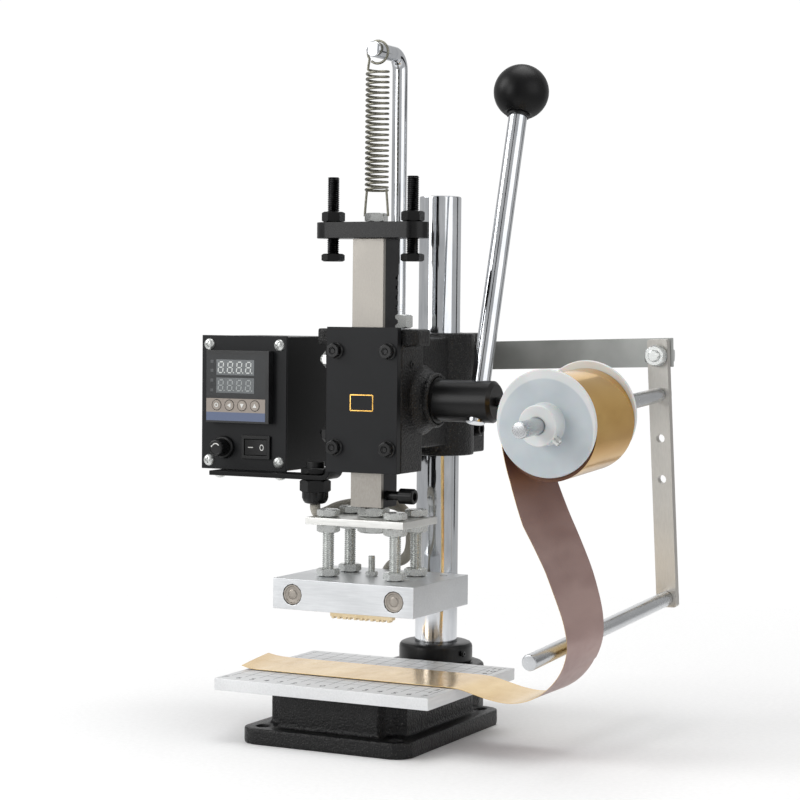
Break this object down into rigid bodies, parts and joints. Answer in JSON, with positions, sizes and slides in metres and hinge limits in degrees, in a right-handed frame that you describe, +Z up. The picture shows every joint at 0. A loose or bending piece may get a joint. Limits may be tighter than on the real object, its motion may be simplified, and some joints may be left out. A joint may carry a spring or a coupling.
{
  "type": "hot foil stamper",
  "caption": "Bench-top hot foil stamping press: lever-driven rack ram with a heated platen over a small table, a temperature control box and a foil reel on a side arm.",
  "frame": {"origin": "on the bench plane, under the ram's axis: the centre boss of the base casting's underside", "axes": "+Z up, +X towards the lever and the foil reel, +Y back towards the column"},
  "size_m": [0.301, 0.2326, 0.4459],
  "materials": {
    "cast_black": "hammered black paint over cast iron",
    "black_steel": "black oxide steel",
    "satin_black": "satin dark grey powder coat",
    "chrome": "polished",
    "nickel": "satin nickel plate",
    "zinc": "bright zinc plate",
    "aluminium": "fine milled",
    "brass": "etched brass",
    "heater_tip": "dull heater sheath",
    "black_plastic": "fine matt",
    "key_grey": "matt beige grey",
    "nylon": "milky nylon",
    "glass_braid": "pale glass-fibre sleeve",
    "gold_foil": "metallised gold film, reddish brown back"
  },
  "bodies": {
    "base": {"base_casting": "cast_black", "work_table": "aluminium", "column": "chrome", "column_collar": "cast_black"},
    "head": {"head_casting": "cast_black", "head_cover": "satin_black", "cover_bolt_1": "black_steel", "cover_bolt_2": "black_steel", "cover_bolt_3": "black_steel", "cover_bolt_4": "black_steel", "clamp_bolt_lower": "black_steel", "clamp_bolt_upper": "black_steel", "spring_hanger": "chrome", "hanger_nut": "zinc", "control_box_body": "satin_black", "control_box_panel": "satin_black", "temperature_controller": "black_plastic", "fuse_holder": "black_plastic", "switch_body": "black_plastic", "mains_inlet": "black_plastic", "box_bracket": "black_steel", "cable_gland": "black_plastic", "reel_arm": "nickel", "reel_strap": "nickel", "strap_bolt": "zinc", "reel_rod": "zinc", "guide_rod": "zinc", "reel_flange_front": "nylon", "reel_flange_rear": "nylon", "foil_web": "gold_foil"},
    "pinion": {"pinion_shaft": "black_steel", "lever_set_screw": "black_steel", "lever_rod": "chrome", "ball_knob": "black_plastic"},
    "ram": {"ram": "nickel", "ram_clamp_screw": "black_steel", "crossbar": "black_steel", "crossbar_bolt": "zinc", "return_spring": "zinc", "adapter_shank": "zinc", "adapter_nut": "zinc", "adapter_plate": "nickel", "levelling_bolt_1": "zinc", "levelling_bolt_2": "zinc", "levelling_bolt_3": "zinc", "levelling_bolt_4": "zinc", "heating_plate": "aluminium", "heater_cartridge_left": "heater_tip", "heater_cartridge_right": "heater_tip", "stamping_die": "brass", "heater_cable": "glass_braid"},
    "stop_left": {"stop_bolt_left": "zinc"},
    "stop_right": {"stop_bolt_right": "zinc"},
    "foil_roll": {"foil_roll": "gold_foil"},
    "fuse_cap": {"fuse_cap": "black_plastic"},
    "rocker": {"switch_rocker": "black_plastic"},
    "key_1": {"controller_key_1": "key_grey"},
    "key_2": {"controller_key_2": "key_grey"},
    "key_3": {"controller_key_3": "key_grey"},
    "key_4": {"controller_key_4": "key_grey"}
  },
  "joints": [
    {"name": "head_height", "type": "slide", "parent": "base", "child": "head", "axis": [0, 0, 1], "range_m": [0, 0.08], "deforming": ["foil_web"]},
    {"name": "lever_turn", "type": "hinge", "parent": "head", "child": "pinion", "pos_m": [0, 0.022, 0.2153], "axis": [1, 0, 0], "range_deg": [0, 154]},
    {"name": "ram_slide", "type": "slide", "parent": "head", "child": "ram", "axis": [0, 0, -1], "range_m": [0, 0.035], "stiffness_N_per_m": 1500, "springref_m": -0.04, "deforming": ["return_spring", "heater_cable"]},
    {"name": "stop_left_turn", "type": "slide", "parent": "ram", "child": "stop_left", "axis": [0, 0, 1], "range_m": [-0.007, 0.009]},
    {"name": "stop_right_turn", "type": "slide", "parent": "ram", "child": "stop_right", "axis": [0, 0, 1], "range_m": [-0.007, 0.009]},
    {"name": "foil_roll_spin", "type": "hinge", "parent": "head", "child": "foil_roll", "pos_m": [0.13737, 0, 0.20502], "axis": [0.0435, 0.9966, 0.0698], "continuous": true},
    {"name": "fuse_cap_turn", "type": "hinge", "parent": "head", "child": "fuse_cap", "pos_m": [-0.112, -0.006, 0.181], "axis": [0, 1, 0], "range_deg": [0, 90]},
    {"name": "power_rocker", "type": "hinge", "parent": "head", "child": "rocker", "pos_m": [-0.0872, 0.0018, 0.1816], "axis": [0, 0, -1], "range_deg": [0, 14]},
    {"name": "key_1_press", "type": "slide", "parent": "head", "child": "key_1", "axis": [0, 1, 0], "range_m": [0, 0.0004], "stiffness_N_per_m": 1500, "springref_m": -0.0002},
    {"name": "key_2_press", "type": "slide", "parent": "head", "child": "key_2", "axis": [0, 1, 0], "range_m": [0, 0.0004], "stiffness_N_per_m": 1500, "springref_m": -0.0002},
    {"name": "key_3_press", "type": "slide", "parent": "head", "child": "key_3", "axis": [0, 1, 0], "range_m": [0, 0.0004], "stiffness_N_per_m": 1500, "springref_m": -0.0002},
    {"name": "key_4_press", "type": "slide", "parent": "head", "child": "key_4", "axis": [0, 1, 0], "range_m": [0, 0.0004], "stiffness_N_per_m": 1500, "springref_m": -0.0002}
  ],
  "couplings": [
    {"joint": "ram_slide", "follows": "lever_turn", "m_per_rad": 0.013}
  ]
}
